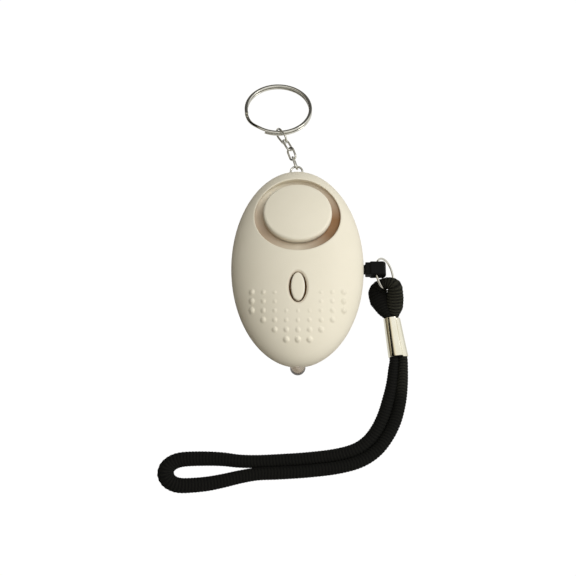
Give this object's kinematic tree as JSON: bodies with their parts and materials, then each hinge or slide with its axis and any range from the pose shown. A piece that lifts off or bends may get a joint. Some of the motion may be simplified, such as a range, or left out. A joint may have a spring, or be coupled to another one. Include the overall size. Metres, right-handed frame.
{
  "type": "personal safety alarm",
  "caption": "Egg-shaped personal safety alarm with a round siren cap, a lamp button and a lamp, a pull pin on a black wrist strap, and a key ring on a short chain.",
  "frame": {"origin": "on the flat of the back, under the middle of the case", "axes": "+Z out of the front with the siren, +Y along the case towards the chain and the key ring, +X towards the pull pin"},
  "size_m": [0.0806, 0.149, 0.0228],
  "materials": {
    "case_front": "satin",
    "case_back": "satin",
    "steel": "polished",
    "ferrule": "polished",
    "cord": "matte knit",
    "black_plastic": "satin",
    "lamp": "clear",
    "nickel": "satin",
    "brass": "satin",
    "ceramic": "matte",
    "red_wire": "satin",
    "black_parts": "matte",
    "stem": "matte",
    "board": "satin"
  },
  "bodies": {
    "case": {"front_shell": "case_front", "back_shell": "case_back", "siren_cap": "case_front", "piezo_plate": "brass", "piezo_ceramic": "ceramic", "piezo_wire_red": "red_wire", "piezo_wire_black": "black_parts", "circuit_board": "board", "driver_chip": "black_parts", "boost_coil": "black_parts", "transistor": "black_parts", "switch_base": "black_parts", "led_lamp": "lamp", "led_leads": "nickel", "button_cells": "nickel", "positive_contact": "nickel", "negative_contact": "nickel", "alarm_contact_upper": "brass", "alarm_contact_lower": "brass", "case_screws": "nickel"},
    "button": {"led_button": "case_front", "switch_stem": "stem"},
    "pull_pin": {"pull_pin": "black_plastic"},
    "pin_ring": {"pin_ring": "steel"},
    "strap": {"strap_head_loop": "cord", "strap_ferrule": "ferrule", "strap_wrist_loop": "cord"},
    "lug_ring": {"lug_ring": "steel"},
    "chain_link_1": {"chain_link_1": "steel"},
    "chain_link_2": {"chain_link_2": "steel"},
    "chain_link_3": {"chain_link_3": "steel"},
    "end_link": {"end_link": "steel"},
    "key_ring": {"key_ring": "steel"}
  },
  "joints": [
    {"name": "button_press", "type": "slide", "parent": "case", "child": "button", "axis": [0, 0, -1], "range_m": [0, 0.0004], "stiffness_N_per_m": 600},
    {"name": "pin_pull", "type": "slide", "parent": "case", "child": "pull_pin", "axis": [1, 0, 0], "range_m": [0, 0.016]},
    {"name": "pin_ring_swing", "type": "hinge", "parent": "pull_pin", "child": "pin_ring", "pos_m": [0.0259, -0.0011, 0.0113], "axis": [0, 1, 0], "range_deg": [-20, 20]},
    {"name": "strap_swing", "type": "hinge", "parent": "pin_ring", "child": "strap", "pos_m": [0.02955, -0.00652, 0.00628], "axis": [0, 0, 1], "range_deg": [-10, 10]},
    {"name": "lug_ring_flip", "type": "hinge", "parent": "case", "child": "lug_ring", "pos_m": [0, 0.0355, 0.0076], "axis": [1, 0, 0], "range_deg": [-15, 15]},
    {"name": "chain_link_1_swing", "type": "hinge", "parent": "lug_ring", "child": "chain_link_1", "pos_m": [-0.00027, 0.03941, 0.00746], "axis": [0.9098, 0.2777, 0.3086], "range_deg": [-15, 15]},
    {"name": "chain_link_2_swing", "type": "hinge", "parent": "chain_link_1", "child": "chain_link_2", "pos_m": [-0.00136, 0.0432, 0.00726], "axis": [0.5765, 0.128, -0.807], "range_deg": [-15, 15]},
    {"name": "chain_link_3_swing", "type": "hinge", "parent": "chain_link_2", "child": "chain_link_3", "pos_m": [-0.00258, 0.04695, 0.00698], "axis": [0.4912, 0.3337, 0.8046], "range_deg": [-15, 15]},
    {"name": "end_link_swing", "type": "hinge", "parent": "chain_link_3", "child": "end_link", "pos_m": [-0.0043, 0.05048, 0.00657], "axis": [0.8293, 0.4675, -0.306], "range_deg": [-15, 15]},
    {"name": "key_ring_swing", "type": "hinge", "parent": "end_link", "child": "key_ring", "pos_m": [-0.007, 0.0548, 0.00585], "axis": [0.0095, 0.2183, 0.9758], "range_deg": [-15, 15]}
  ]
}
